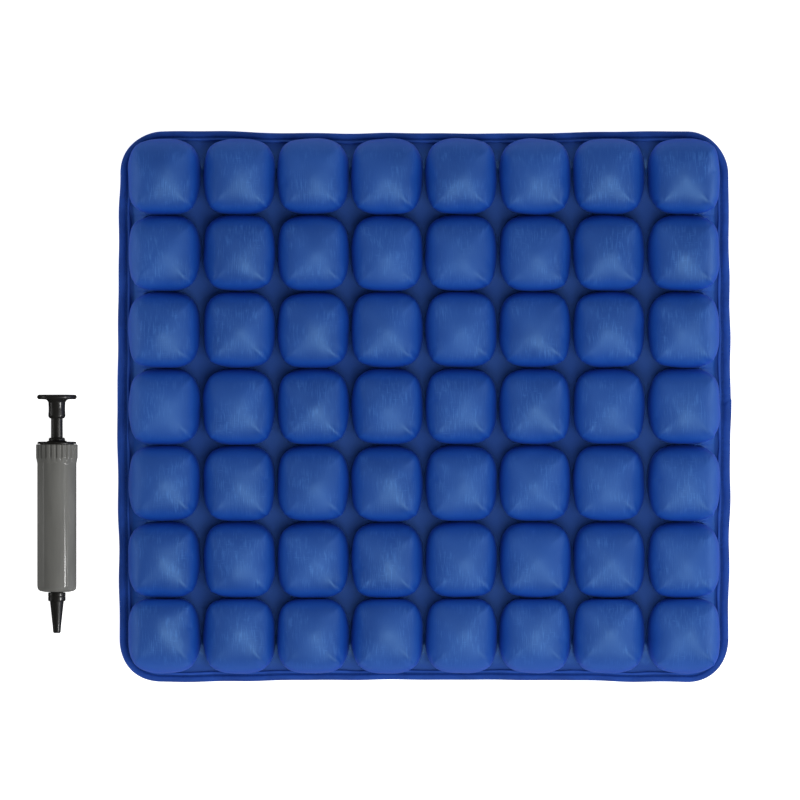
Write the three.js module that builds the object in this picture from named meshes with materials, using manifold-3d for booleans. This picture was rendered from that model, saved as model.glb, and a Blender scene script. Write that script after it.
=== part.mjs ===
// Seat-size pressure relief air cushion with its hand pump. Millimetres, +Z up.
// The origin is the centre of the cushion's underside. +X runs along the longer side of the
// cushion, away from the pump, and +Y towards the cushion's rear edge.

import * as THREE from 'three';
import { mergeVertices } from 'three/addons/utils/BufferGeometryUtils.js';
import Module from 'manifold-3d';

const wasm = await Module();
wasm.setup();

// ---------------------------------------------------------------- driving dimensions

const GAP = 0.3;                    // clearance between neighbouring pieces

// Cushion outline and air cells
const CUSHION_LENGTH = 450;         // along X
const CUSHION_WIDTH = 406;          // along Y
const CUSHION_CORNER_RADIUS = 33;
const COLUMNS = 8;
const ROWS = 7;
const COLUMN_PITCH = 54;
const ROW_PITCH = 56;
const CELL_TOP = 47;                // height of an inflated cell's crown above the floor
const CELL_HALF_X = 26;             // half size of a cell where it is widest
const CELL_HALF_Y = 27;
const CELL_SIDES = 16;              // facets round a cell

// Layers of the cushion, as [bottom, top] heights
const FABRIC_LAYER = [0, 2.8];
const FABRIC_HEM = [2.0, 2.8];
const FILM_LAYER = [3.1, 3.7];
const LAMINATE_LAYER = [4.0, 4.8];
const BINDING_LAYER = [1.0, 5.8];
const BINDING_THICKNESS = 0.7;
const BINDING_WIDTH = 10;
const HEM_INSET = BINDING_THICKNESS + GAP;   // edge of the sheets held in the binding
const FABRIC_PAD_INSET = 14;                 // where the underside steps down to the floor
const STITCH_INSET = 7.2;
const STITCH_WIDTH = 0.8;
const STITCH_HEIGHT = 0.4;

// Air valve, in the underside below the front right cell
const VALVE_X = (COLUMNS - 1) / 2 * COLUMN_PITCH;
const VALVE_Y = -(ROWS - 1) / 2 * ROW_PITCH;
const VALVE_FLANGE_RADIUS = 15;
const VALVE_NECK_RADIUS = 7;
const VALVE_BORE_RADIUS = 4;
const VALVE_MOUTH_RADIUS = 6;
const VALVE_MOUTH_DEPTH = 4;
const VALVE_FLANGE = [2.0, 2.8];
const VALVE_NECK_TOP = 12;
const FLAP_THICKNESS = 0.6;
const FLAP_RADIUS = 5.4;
const FLAP_HINGE_OFFSET = 6.2;
const VALVE_POCKET = [9.5, 22];     // radius and top of the free space in the cell above
const PLUG_HEAD_RADIUS = 8;
const PLUG_HEAD = [0.4, 1.7];
const PLUG_DEPTH = 3.6;             // how far the plug reaches into the valve
const PLUG_HINGE_OFFSET = 13;
const STRAP_WIDTH = 5;
const STRAP_THICKNESS = 0.8;

// Hand pump, lying along Y beside the cushion. Its own Y coordinate counts from the
// nozzle end of the barrel towards the handle.
const PUMP_X = -268.5;
const PUMP_Y = -136;
const BARREL_LENGTH = 108;
const BARREL_RADIUS = 14.25;
const BARREL_WALL = 1.6;
const BARREL_FLOOR = 2.4;
const GRIP_RADIUS = 15.25;          // flared, fluted top of the barrel
const GRIP_LENGTH = 10;
const GRIP_FLARE = 3;
const FLUTE_COUNT = 24;
const FLUTE_RADIUS = 0.9;
const PORT_RADIUS = 5;              // hole in the barrel's floor for the nozzle
const CAP_SPIGOT_LENGTH = 6;
const CAP_RIM_HEIGHT = 1.6;
const CAP_COLLAR_RADIUS = 5.9;
const CAP_COLLAR_HEIGHT = 3;
const ROD_RADIUS = 4.3;
const ROD_SHOWING = 14;             // rod between the cap's collar and the handle at rest
const HANDLE_RADIUS = 14.5;
const HANDLE_DISC_HEIGHT = 3.4;
const SLEEVE_RADIUS = 6.3;
const SLEEVE_LENGTH = 14;
const SLEEVE_CHAMFER = 1.6;
const SLEEVE_SOCKET_DEPTH = 10;
const PISTON_BOTTOM = 18;           // lower face of the piston at rest
const PISTON_HEIGHT = 8;
const PISTON_FLANGE = 1.5;
const PISTON_HUB_RADIUS = 5.5;
const ROD_SPIGOT_RADIUS = 2.5;
const ROD_SPIGOT_LENGTH = 6;
const NOZZLE_COLLAR_RADIUS = 6.4;
const NOZZLE_COLLAR_LENGTH = 6.6;
const NOZZLE_CONE_RADIUS = 5.1;
const NOZZLE_TIP_RADIUS = 2.6;
const NOZZLE_LENGTH = 30;           // from the barrel to the tip
const NOZZLE_BORE_RADIUS = 1.3;
const CHECK_CHAMBER = [-5.6, -2.4]; // lower and upper end of the check disc's chamber
const CHECK_CHAMBER_RADIUS = 3.8;
const CHECK_PORT_RADIUS = 1.8;
const CHECK_DISC_RADIUS = 3.2;
const CHECK_DISC_THICKNESS = 0.8;

const ROUND_SIDES = 24;             // facets of the pump's round pieces
const SMALL_ROUND_SIDES = 20;       // facets of the valve's round pieces
const CORNER_STEPS = 6;             // facets of each cushion corner

// ---------------------------------------------------------------- materials

const MATERIALS = {
  cellFabric: { color: 0x2a5298, roughness: 0.55, metalness: 0 },
  bindingTape: { color: 0x23478a, roughness: 0.7, metalness: 0 },
  thread: { color: 0x3a66b0, roughness: 0.6, metalness: 0 },
  baseFilm: { color: 0x1f3f7c, roughness: 0.4, metalness: 0 },
  baseFabric: { color: 0x1b3468, roughness: 0.85, metalness: 0 },
  valvePlastic: { color: 0x1a1b1d, roughness: 0.5, metalness: 0 },
  greyPlastic: { color: 0x6e6f6c, roughness: 0.35, metalness: 0 },
  blackPlastic: { color: 0x141414, roughness: 0.35, metalness: 0 },
  sealRubber: { color: 0x202020, roughness: 0.8, metalness: 0 },
};

// ---------------------------------------------------------------- solid geometry helpers

// A closed geometry as a solid that can be joined and cut. Points on a lathe's axis or
// seam coincide, so they are merged and the triangles that this flattens are left out.
function toSolid(geometry) {
  const bare = geometry.clone();
  bare.deleteAttribute('normal');
  bare.deleteAttribute('uv');
  const merged = mergeVertices(bare, 1e-4);
  const corners = merged.index.array;
  const kept = [];
  for (let i = 0; i < corners.length; i += 3) {
    const [a, b, c] = [corners[i], corners[i + 1], corners[i + 2]];
    if (a !== b && b !== c && c !== a) {
      kept.push(a, b, c);
    }
  }
  return new wasm.Manifold(new wasm.Mesh({
    numProp: 3,
    vertProperties: Float32Array.from(merged.attributes.position.array),
    triVerts: Uint32Array.from(kept),
  }));
}

// The solid as a geometry with its own vertices and triangles.
function toGeometry(solid) {
  const mesh = solid.getMesh();
  const positions = new Float32Array(mesh.numVert * 3);
  for (let i = 0; i < mesh.numVert; i += 1) {
    for (let k = 0; k < 3; k += 1) {
      positions[3 * i + k] = mesh.vertProperties[mesh.numProp * i + k];
    }
  }
  const geometry = new THREE.BufferGeometry();
  geometry.setAttribute('position', new THREE.BufferAttribute(positions, 3));
  geometry.setIndex(new THREE.BufferAttribute(Uint32Array.from(mesh.triVerts), 1));
  geometry.computeVertexNormals();
  return geometry;
}

// A flat plate with the cushion's rounded outline, drawn in by `inset`.
function outlinePlate(inset, [bottom, top]) {
  const halfX = CUSHION_LENGTH / 2 - inset;
  const halfY = CUSHION_WIDTH / 2 - inset;
  const radius = CUSHION_CORNER_RADIUS - inset;
  const shape = new THREE.Shape();
  shape.moveTo(halfX - radius, -halfY);
  shape.absarc(halfX - radius, -halfY + radius, radius, -Math.PI / 2, 0);
  shape.absarc(halfX - radius, halfY - radius, radius, 0, Math.PI / 2);
  shape.absarc(-halfX + radius, halfY - radius, radius, Math.PI / 2, Math.PI);
  shape.absarc(-halfX + radius, -halfY + radius, radius, Math.PI, 1.5 * Math.PI);
  const settings = { depth: top - bottom, bevelEnabled: false, curveSegments: CORNER_STEPS };
  return toSolid(new THREE.ExtrudeGeometry(shape, settings).translate(0, 0, bottom));
}

// A box between two opposite corners.
function block(low, high) {
  const size = [0, 1, 2].map((k) => high[k] - low[k]);
  const middle = [0, 1, 2].map((k) => (high[k] + low[k]) / 2);
  return toSolid(new THREE.BoxGeometry(...size).translate(...middle));
}

// A round bar standing along Z.
function uprightBar(x, y, [bottom, top], radius, sides) {
  const bar = new THREE.CylinderGeometry(radius, radius, top - bottom, sides);
  bar.rotateX(Math.PI / 2);
  bar.translate(x, y, (top + bottom) / 2);
  return toSolid(bar);
}

// A body turned about Y from an outline of [radius, height] points. An outline that doesn't
// start and end on the axis is closed on itself, and makes a ring.
function turned(outline, sides) {
  const points = outline.map(([radius, height]) => new THREE.Vector2(radius, height));
  const startsOnAxis = outline[0][0] === 0;
  if (!startsOnAxis) {
    points.push(points[0].clone());
  }
  return new THREE.LatheGeometry(points, sides);
}

// The same body standing along Z at (x, y).
function uprightTurned(outline, x, y, sides) {
  return turned(outline, sides).rotateX(Math.PI / 2).translate(x, y, 0);
}

function namedMesh(name, geometry, look) {
  const mesh = new THREE.Mesh(geometry, new THREE.MeshStandardMaterial(look));
  mesh.name = name;
  return mesh;
}

// ---------------------------------------------------------------- cushion

// Radius that turns a circle into a rounded square: higher powers give squarer corners.
function squareness(angle, power) {
  const sum = Math.abs(Math.cos(angle)) ** power + Math.abs(Math.sin(angle)) ** power;
  return sum ** (-1 / power);
}

// One inflated cell: a domed pillow on a rounded square, widest at a third of its height.
function airCell(x, y) {
  const foot = LAMINATE_LAYER[0] + GAP;
  const outline = [
    [0, foot],
    [0.82, foot],
    [1.0, 18],
    [0.8, 39],
    [0, CELL_TOP],
  ];
  const dome = turned(outline, CELL_SIDES).rotateX(Math.PI / 2);
  const position = dome.attributes.position;
  for (let i = 0; i < position.count; i += 1) {
    const angle = Math.atan2(position.getY(i), position.getX(i));
    const rise = (position.getZ(i) - foot) / (CELL_TOP - foot);
    const spread = squareness(angle, 3.6 - 1.2 * rise);
    position.setX(i, x + position.getX(i) * spread * CELL_HALF_X);
    position.setY(i, y + position.getY(i) * spread * CELL_HALF_Y);
  }
  return toSolid(dome);
}

// One row of the upper laminate: its strip of the welded sheet with eight cells on it.
function airCellRow(row) {
  const centreY = ((ROWS - 1) / 2 - row) * ROW_PITCH;
  const isFirst = row === 0;
  const isLast = row === ROWS - 1;
  const reach = CUSHION_WIDTH;
  const low = isLast ? -reach : centreY - (ROW_PITCH - GAP) / 2;
  const high = isFirst ? reach : centreY + (ROW_PITCH - GAP) / 2;
  const strip = block([-CUSHION_LENGTH, low, 0], [CUSHION_LENGTH, high, CELL_TOP]);
  let solid = outlinePlate(HEM_INSET, LAMINATE_LAYER).intersect(strip);
  for (let column = 0; column < COLUMNS; column += 1) {
    const centreX = (column - (COLUMNS - 1) / 2) * COLUMN_PITCH;
    solid = solid.add(airCell(centreX, centreY));
  }
  if (isLast) {
    const [radius, top] = VALVE_POCKET;
    solid = solid.subtract(uprightBar(VALVE_X, VALVE_Y, [0, top], radius, SMALL_ROUND_SIDES));
  }
  return namedMesh(`air_cell_row_${row + 1}`, toGeometry(solid), MATERIALS.cellFabric);
}

// The flat welded sheet that closes the cells from below, with a hole for the valve's neck.
function bladderBaseFilm() {
  const hole = uprightBar(VALVE_X, VALVE_Y, [0, 9], VALVE_NECK_RADIUS + GAP, SMALL_ROUND_SIDES);
  const solid = outlinePlate(HEM_INSET, FILM_LAYER).subtract(hole);
  return namedMesh('bladder_base_film', toGeometry(solid), MATERIALS.baseFilm);
}

// The anti-slip underside: a pad that meets the floor, its thin hem, and the valve's eyelet.
function bottomFabric() {
  const eyelet = VALVE_FLANGE_RADIUS + 1;
  const hole = uprightBar(VALVE_X, VALVE_Y, [-1, 9], eyelet, SMALL_ROUND_SIDES);
  const pad = outlinePlate(FABRIC_PAD_INSET, FABRIC_LAYER);
  const solid = outlinePlate(HEM_INSET, FABRIC_HEM).add(pad).subtract(hole);
  return namedMesh('bottom_fabric', toGeometry(solid), MATERIALS.baseFabric);
}

// Tape folded round the edge in a U that holds the three sheets.
function edgeBinding() {
  const [bottom, top] = BINDING_LAYER;
  const slot = [bottom + BINDING_THICKNESS, top - BINDING_THICKNESS];
  const solid = outlinePlate(0, BINDING_LAYER)
    .subtract(outlinePlate(BINDING_THICKNESS, slot))
    .subtract(outlinePlate(BINDING_WIDTH, [bottom - 1, top + 1]));
  return namedMesh('edge_binding', toGeometry(solid), MATERIALS.bindingTape);
}

// The line of thread that runs round the binding near its inner edge.
function edgeStitching() {
  const bottom = BINDING_LAYER[1] + GAP;
  const outer = outlinePlate(STITCH_INSET, [bottom, bottom + STITCH_HEIGHT]);
  const inner = outlinePlate(STITCH_INSET + STITCH_WIDTH, [bottom - 1, bottom + 1]);
  return namedMesh('edge_stitching', toGeometry(outer.subtract(inner)), MATERIALS.thread);
}

// ---------------------------------------------------------------- air valve

// Welded flange and neck, with a tapered mouth for the plug and a bore for the pump's nozzle.
function valveBody() {
  const [bottom, top] = VALVE_FLANGE;
  const outline = [
    [VALVE_MOUTH_RADIUS, bottom],
    [VALVE_FLANGE_RADIUS, bottom],
    [VALVE_FLANGE_RADIUS, top],
    [VALVE_NECK_RADIUS, top],
    [VALVE_NECK_RADIUS, VALVE_NECK_TOP],
    [VALVE_BORE_RADIUS, VALVE_NECK_TOP],
    [VALVE_BORE_RADIUS, bottom + VALVE_MOUTH_DEPTH],
  ];
  const geometry = uprightTurned(outline, VALVE_X, VALVE_Y, SMALL_ROUND_SIDES);
  return namedMesh('valve_body', geometry, MATERIALS.valvePlastic);
}

// The soft disc that lies on top of the neck and lifts when air comes in.
function valveFlap() {
  const bottom = VALVE_NECK_TOP + GAP;
  const layer = [bottom, bottom + FLAP_THICKNESS];
  const disc = uprightBar(VALVE_X, VALVE_Y, layer, FLAP_RADIUS, SMALL_ROUND_SIDES);
  const tab = block(
    [VALVE_X - FLAP_HINGE_OFFSET, VALVE_Y - STRAP_WIDTH / 2, layer[0]],
    [VALVE_X, VALVE_Y + STRAP_WIDTH / 2, layer[1]],
  );
  return namedMesh('valve_flap', toGeometry(disc.add(tab)), MATERIALS.sealRubber);
}

// The push-in plug with its finger disc and the strap that keeps it on the cushion.
function valvePlug() {
  const [bottom, top] = PLUG_HEAD;
  const taper = (VALVE_MOUTH_RADIUS - VALVE_BORE_RADIUS) / VALVE_MOUTH_DEPTH;
  const plugTop = VALVE_FLANGE[0] + PLUG_DEPTH;
  const outline = [
    [0, bottom],
    [PLUG_HEAD_RADIUS, bottom],
    [PLUG_HEAD_RADIUS, top],
    [VALVE_MOUTH_RADIUS - 2 * GAP, top],
    [VALVE_MOUTH_RADIUS - 2 * GAP, VALVE_FLANGE[0]],
    [VALVE_MOUTH_RADIUS - 2 * GAP - PLUG_DEPTH * taper, plugTop],
    [0, plugTop],
  ];
  const plug = toSolid(uprightTurned(outline, VALVE_X, VALVE_Y, SMALL_ROUND_SIDES));
  const strap = block(
    [VALVE_X - PLUG_HINGE_OFFSET, VALVE_Y - STRAP_WIDTH / 2, bottom],
    [VALVE_X, VALVE_Y + STRAP_WIDTH / 2, bottom + STRAP_THICKNESS],
  );
  return namedMesh('valve_plug', toGeometry(plug.add(strap)), MATERIALS.valvePlastic);
}

// ---------------------------------------------------------------- hand pump

// The barrel: a tube with a floor, a port for the nozzle, and a flared top with grip flutes.
function pumpBarrel() {
  const flareStart = BARREL_LENGTH - GRIP_LENGTH - GRIP_FLARE;
  const boreRadius = BARREL_RADIUS - BARREL_WALL;
  const outline = [
    [PORT_RADIUS, 0],
    [BARREL_RADIUS, 0],
    [BARREL_RADIUS, flareStart],
    [GRIP_RADIUS, flareStart + GRIP_FLARE],
    [GRIP_RADIUS, BARREL_LENGTH],
    [boreRadius, BARREL_LENGTH],
    [boreRadius, BARREL_FLOOR],
    [PORT_RADIUS, BARREL_FLOOR],
  ];
  let solid = toSolid(turned(outline, ROUND_SIDES));
  for (let i = 0; i < FLUTE_COUNT; i += 1) {
    const angle = (i + 0.5) / FLUTE_COUNT * 2 * Math.PI;
    const offset = GRIP_RADIUS + FLUTE_RADIUS * 0.4;
    const flute = new THREE.CylinderGeometry(FLUTE_RADIUS, FLUTE_RADIUS, GRIP_LENGTH + 1, 6);
    flute.translate(Math.sin(angle) * offset, BARREL_LENGTH - GRIP_LENGTH / 2 + 1, 0);
    flute.translate(0, 0, Math.cos(angle) * offset);
    solid = solid.subtract(toSolid(flute));
  }
  return namedMesh('pump_barrel', toGeometry(solid), MATERIALS.greyPlastic);
}

// The cap that closes the barrel and guides the rod through its collar.
function pumpEndCap() {
  const holeRadius = ROD_RADIUS + GAP;
  const spigotRadius = BARREL_RADIUS - BARREL_WALL - GAP;
  const rimBottom = BARREL_LENGTH + GAP;
  const rimTop = rimBottom + CAP_RIM_HEIGHT;
  const outline = [
    [holeRadius, BARREL_LENGTH - CAP_SPIGOT_LENGTH],
    [spigotRadius, BARREL_LENGTH - CAP_SPIGOT_LENGTH],
    [spigotRadius, rimBottom],
    [BARREL_RADIUS, rimBottom],
    [BARREL_RADIUS, rimTop],
    [CAP_COLLAR_RADIUS, rimTop],
    [CAP_COLLAR_RADIUS, rimTop + CAP_COLLAR_HEIGHT],
    [holeRadius, rimTop + CAP_COLLAR_HEIGHT],
  ];
  return namedMesh('pump_end_cap', turned(outline, ROUND_SIDES), MATERIALS.blackPlastic);
}

// The tapered nozzle with its collar, the chamber of the check disc, and the air bore.
function pumpNozzle() {
  const [chamberBottom, chamberTop] = CHECK_CHAMBER;
  const spigotRadius = PORT_RADIUS - GAP;
  const coneStart = -NOZZLE_COLLAR_LENGTH;
  const outline = [
    [NOZZLE_BORE_RADIUS, -NOZZLE_LENGTH],
    [NOZZLE_TIP_RADIUS - 0.5, -NOZZLE_LENGTH],
    [NOZZLE_TIP_RADIUS, -NOZZLE_LENGTH + 0.8],
    [NOZZLE_CONE_RADIUS, coneStart],
    [NOZZLE_COLLAR_RADIUS, coneStart],
    [NOZZLE_COLLAR_RADIUS, -GAP],
    [spigotRadius, -GAP],
    [spigotRadius, BARREL_FLOOR],
    [CHECK_PORT_RADIUS, BARREL_FLOOR],
    [CHECK_PORT_RADIUS, chamberTop],
    [CHECK_CHAMBER_RADIUS, chamberTop],
    [CHECK_CHAMBER_RADIUS, chamberBottom],
    [NOZZLE_BORE_RADIUS, chamberBottom],
  ];
  return namedMesh('pump_nozzle', turned(outline, ROUND_SIDES), MATERIALS.blackPlastic);
}

// The loose disc that lets air out through the nozzle and not back in.
function pumpCheckDisc() {
  const top = CHECK_CHAMBER[1] - GAP;
  const outline = [
    [0, top - CHECK_DISC_THICKNESS],
    [CHECK_DISC_RADIUS, top - CHECK_DISC_THICKNESS],
    [CHECK_DISC_RADIUS, top],
    [0, top],
  ];
  return namedMesh('pump_check_disc', turned(outline, SMALL_ROUND_SIDES), MATERIALS.sealRubber);
}

// ---------------------------------------------------------------- plunger

const COLLAR_TOP = BARREL_LENGTH + GAP + CAP_RIM_HEIGHT + CAP_COLLAR_HEIGHT;
const SLEEVE_BOTTOM = COLLAR_TOP + ROD_SHOWING;
const PISTON_TOP = PISTON_BOTTOM + PISTON_HEIGHT;

// The rod, from the spigot that holds the piston up into the handle's sleeve.
function pistonRod() {
  const rodTop = SLEEVE_BOTTOM + SLEEVE_SOCKET_DEPTH - GAP;
  const rodBottom = PISTON_TOP + GAP;
  const outline = [
    [0, rodBottom - ROD_SPIGOT_LENGTH],
    [ROD_SPIGOT_RADIUS, rodBottom - ROD_SPIGOT_LENGTH],
    [ROD_SPIGOT_RADIUS, rodBottom],
    [ROD_RADIUS, rodBottom],
    [ROD_RADIUS, rodTop],
    [0, rodTop],
  ];
  return namedMesh('piston_rod', turned(outline, ROUND_SIDES), MATERIALS.blackPlastic);
}

// The handle: a round push plate on a sleeve with a socket for the rod.
function pumpHandle() {
  const socketRadius = ROD_RADIUS + GAP;
  const sleeveTop = SLEEVE_BOTTOM + SLEEVE_LENGTH;
  const plateTop = sleeveTop + HANDLE_DISC_HEIGHT;
  const outline = [
    [0, SLEEVE_BOTTOM + SLEEVE_SOCKET_DEPTH],
    [socketRadius, SLEEVE_BOTTOM + SLEEVE_SOCKET_DEPTH],
    [socketRadius, SLEEVE_BOTTOM],
    [SLEEVE_RADIUS - SLEEVE_CHAMFER * 0.7, SLEEVE_BOTTOM],
    [SLEEVE_RADIUS, SLEEVE_BOTTOM + SLEEVE_CHAMFER],
    [SLEEVE_RADIUS, sleeveTop],
    [HANDLE_RADIUS - 1, sleeveTop],
    [HANDLE_RADIUS, sleeveTop + 1],
    [HANDLE_RADIUS, plateTop - 1],
    [HANDLE_RADIUS - 1, plateTop],
    [0, plateTop],
  ];
  return namedMesh('pump_handle', turned(outline, ROUND_SIDES), MATERIALS.blackPlastic);
}

// The piston: two flanges on a hub that hold the cup seal between them.
function pistonHead() {
  const flangeRadius = BARREL_RADIUS - BARREL_WALL - 2 * GAP;
  const seatRadius = ROD_SPIGOT_RADIUS + GAP;
  const outline = [
    [0, PISTON_BOTTOM],
    [flangeRadius - 1, PISTON_BOTTOM],
    [flangeRadius - 1, PISTON_BOTTOM + PISTON_FLANGE],
    [PISTON_HUB_RADIUS, PISTON_BOTTOM + PISTON_FLANGE],
    [PISTON_HUB_RADIUS, PISTON_TOP - PISTON_FLANGE],
    [flangeRadius, PISTON_TOP - PISTON_FLANGE],
    [flangeRadius, PISTON_TOP],
    [seatRadius, PISTON_TOP],
    [seatRadius, PISTON_TOP - ROD_SPIGOT_LENGTH],
    [0, PISTON_TOP - ROD_SPIGOT_LENGTH],
  ];
  return namedMesh('piston_head', turned(outline, ROUND_SIDES), MATERIALS.greyPlastic);
}

// The cup seal, whose lip opens towards the nozzle and wipes the barrel.
function pistonCupSeal() {
  const lipRadius = BARREL_RADIUS - BARREL_WALL - GAP;
  const bottom = PISTON_BOTTOM + PISTON_FLANGE + GAP;
  const top = PISTON_TOP - PISTON_FLANGE - GAP;
  const web = 1.4;
  const outline = [
    [PISTON_HUB_RADIUS + GAP, bottom],
    [PISTON_HUB_RADIUS + GAP + web, bottom],
    [PISTON_HUB_RADIUS + GAP + web, top - web],
    [lipRadius - web, top - web],
    [lipRadius - web, bottom],
    [lipRadius, bottom],
    [lipRadius, top],
    [PISTON_HUB_RADIUS + GAP, top],
  ];
  return namedMesh('piston_cup_seal', turned(outline, ROUND_SIDES), MATERIALS.sealRubber);
}

// ---------------------------------------------------------------- assembly

const cushion = new THREE.Group();
for (let row = 0; row < ROWS; row += 1) {
  cushion.add(airCellRow(row));
}
cushion.add(bladderBaseFilm(), bottomFabric(), edgeBinding(), edgeStitching());
cushion.add(valveBody(), valveFlap(), valvePlug());

const pump = new THREE.Group();
pump.add(pumpBarrel(), pumpEndCap(), pumpNozzle(), pumpCheckDisc());
pump.add(pistonRod(), pumpHandle(), pistonHead(), pistonCupSeal());
pump.position.set(PUMP_X, PUMP_Y, GRIP_RADIUS);

const model = new THREE.Group();
model.add(cushion, pump);

export default model;
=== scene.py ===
"""Looks of a seat-size pressure relief air cushion and its hand pump.

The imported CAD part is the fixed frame. The soft pieces and the round plastic pieces are
rebuilt here with finer shapes in the places of their CAD nodes. Metres, +Z up.
"""

import math
from contextlib import contextmanager

import bmesh
import bpy
import numpy as np
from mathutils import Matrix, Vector


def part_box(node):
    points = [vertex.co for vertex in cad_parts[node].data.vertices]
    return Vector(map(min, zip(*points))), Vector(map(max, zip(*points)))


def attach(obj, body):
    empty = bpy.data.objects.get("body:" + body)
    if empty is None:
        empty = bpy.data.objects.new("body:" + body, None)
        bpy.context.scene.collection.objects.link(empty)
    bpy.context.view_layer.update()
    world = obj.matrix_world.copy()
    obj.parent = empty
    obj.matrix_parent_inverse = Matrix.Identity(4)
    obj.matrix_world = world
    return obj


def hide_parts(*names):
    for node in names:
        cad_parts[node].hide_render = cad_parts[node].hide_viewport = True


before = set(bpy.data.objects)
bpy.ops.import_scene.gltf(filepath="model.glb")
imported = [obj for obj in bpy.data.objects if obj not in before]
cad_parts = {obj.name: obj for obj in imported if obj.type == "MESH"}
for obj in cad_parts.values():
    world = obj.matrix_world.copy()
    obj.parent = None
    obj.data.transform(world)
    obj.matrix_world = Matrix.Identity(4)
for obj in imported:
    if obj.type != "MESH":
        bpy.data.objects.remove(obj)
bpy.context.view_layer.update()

MM = 0.001

# ---- sizes shared with the CAD

COLUMNS = 8
ROWS = 7
PITCH_X = 54 * MM
PITCH_Y = 56 * MM
CORNER_RADIUS = 33 * MM
HEM_INSET = 5.2 * MM                # edge of the laminate, inside the binding
WEB_BOTTOM = 4.0 * MM               # the flat welded sheet between the cells
WEB_TOP = 4.8 * MM

EDGE_LOW, EDGE_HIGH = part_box("edge_binding")
HALF_LENGTH = (EDGE_HIGH.x - EDGE_LOW.x) / 2
HALF_WIDTH = (EDGE_HIGH.y - EDGE_LOW.y) / 2

VALVE_LOW, VALVE_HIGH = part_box("valve_body")
VALVE_X = (VALVE_LOW.x + VALVE_HIGH.x) / 2
VALVE_Y = (VALVE_LOW.y + VALVE_HIGH.y) / 2
VALVE_POCKET_RADIUS = 9.5 * MM
VALVE_POCKET_TOP = 22 * MM
EYELET_RADIUS = 16 * MM

BARREL_LOW, BARREL_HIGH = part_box("pump_barrel")
PUMP_X = (BARREL_LOW.x + BARREL_HIGH.x) / 2
PUMP_Z = (BARREL_LOW.z + BARREL_HIGH.z) / 2
PUMP_Y = BARREL_LOW.y               # the nozzle end of the barrel

# ---- small helpers


def ramp(x, low, high):
    """0 below low, 1 above high, and a smooth rise between them."""
    x = np.clip((x - low) / (high - low), 0.0, 1.0)
    return x * x * (3 - 2 * x)


def bell(x, width):
    """A smooth bump of height 1 at x = 0."""
    return np.exp(-((x / width) ** 2))


def through_points(points, t):
    """The Catmull-Rom curve through `points`, at places t from 0 to 1."""
    points = np.asarray(points, float)
    last = len(points) - 1
    place = np.clip(t, 0, 1) * last
    i = np.minimum(place.astype(int), last - 1)
    f = (place - i)[..., None]
    p0 = points[np.maximum(i - 1, 0)]
    p1 = points[i]
    p2 = points[i + 1]
    p3 = points[np.minimum(i + 2, last)]
    bend = (2 * p0 - 5 * p1 + 4 * p2 - p3) * f * f
    twist = (-p0 + 3 * p1 - 3 * p2 + p3) * f**3
    return 0.5 * (2 * p1 + (p2 - p0) * f + bend + twist)


def soft_noise(x, y, size, seed, waves=9):
    """Smooth noise of about -1 to 1 at points (x, y), with features of about `size`."""
    rng = np.random.default_rng(seed)
    total = np.zeros_like(np.asarray(x, float) + np.asarray(y, float))
    for _ in range(waves):
        angle = rng.uniform(0, math.tau)
        length = size * rng.uniform(0.7, 2.0)
        phase = rng.uniform(0, math.tau)
        total += np.sin((x * math.cos(angle) + y * math.sin(angle)) * math.tau / length + phase)
    return total / math.sqrt(waves / 2) / 1.6


def shade_smooth(mesh):
    mesh.polygons.foreach_set("use_smooth", [True] * len(mesh.polygons))


@contextmanager
def editing(mesh):
    """Lends out a bmesh of a mesh, and writes it back when the block ends."""
    bm = bmesh.new()
    bm.from_mesh(mesh)
    yield bm
    bm.to_mesh(mesh)
    bm.free()


def new_object(name, vertices, faces):
    """A smooth-shaded mesh object."""
    mesh = bpy.data.meshes.new(name)
    mesh.from_pydata([tuple(v) for v in vertices], [], [tuple(f) for f in faces])
    mesh.validate()
    shade_smooth(mesh)
    obj = bpy.data.objects.new(name, mesh)
    bpy.context.scene.collection.objects.link(obj)
    return obj


def grid_faces(columns, rows, start=0, around=(False, False)):
    """Quads of a grid of vertices, numbered row by row inside each column.

    `around` says in which of the two directions the grid closes on itself.
    """
    i = np.arange(columns if around[0] else columns - 1)
    j = np.arange(rows if around[1] else rows - 1)
    i, j = (index.ravel() for index in np.meshgrid(i, j, indexing="ij"))
    next_i, next_j = (i + 1) % columns, (j + 1) % rows
    corners = [i * rows + j, next_i * rows + j, next_i * rows + next_j, i * rows + next_j]
    return start + np.stack(corners, axis=1)


def ellipse(centre, half_axis, other_half_axis, sides):
    """Points of an ellipse, from its centre and its two half axes."""
    turn = np.linspace(0, math.tau, sides, endpoint=False)[:, None]
    return centre + np.cos(turn) * half_axis + np.sin(turn) * other_half_axis


def outward(obj):
    """Turns every face of a closed mesh outwards."""
    with editing(obj.data) as bm:
        bmesh.ops.recalc_face_normals(bm, faces=bm.faces)


# ---- material nodes


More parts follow.
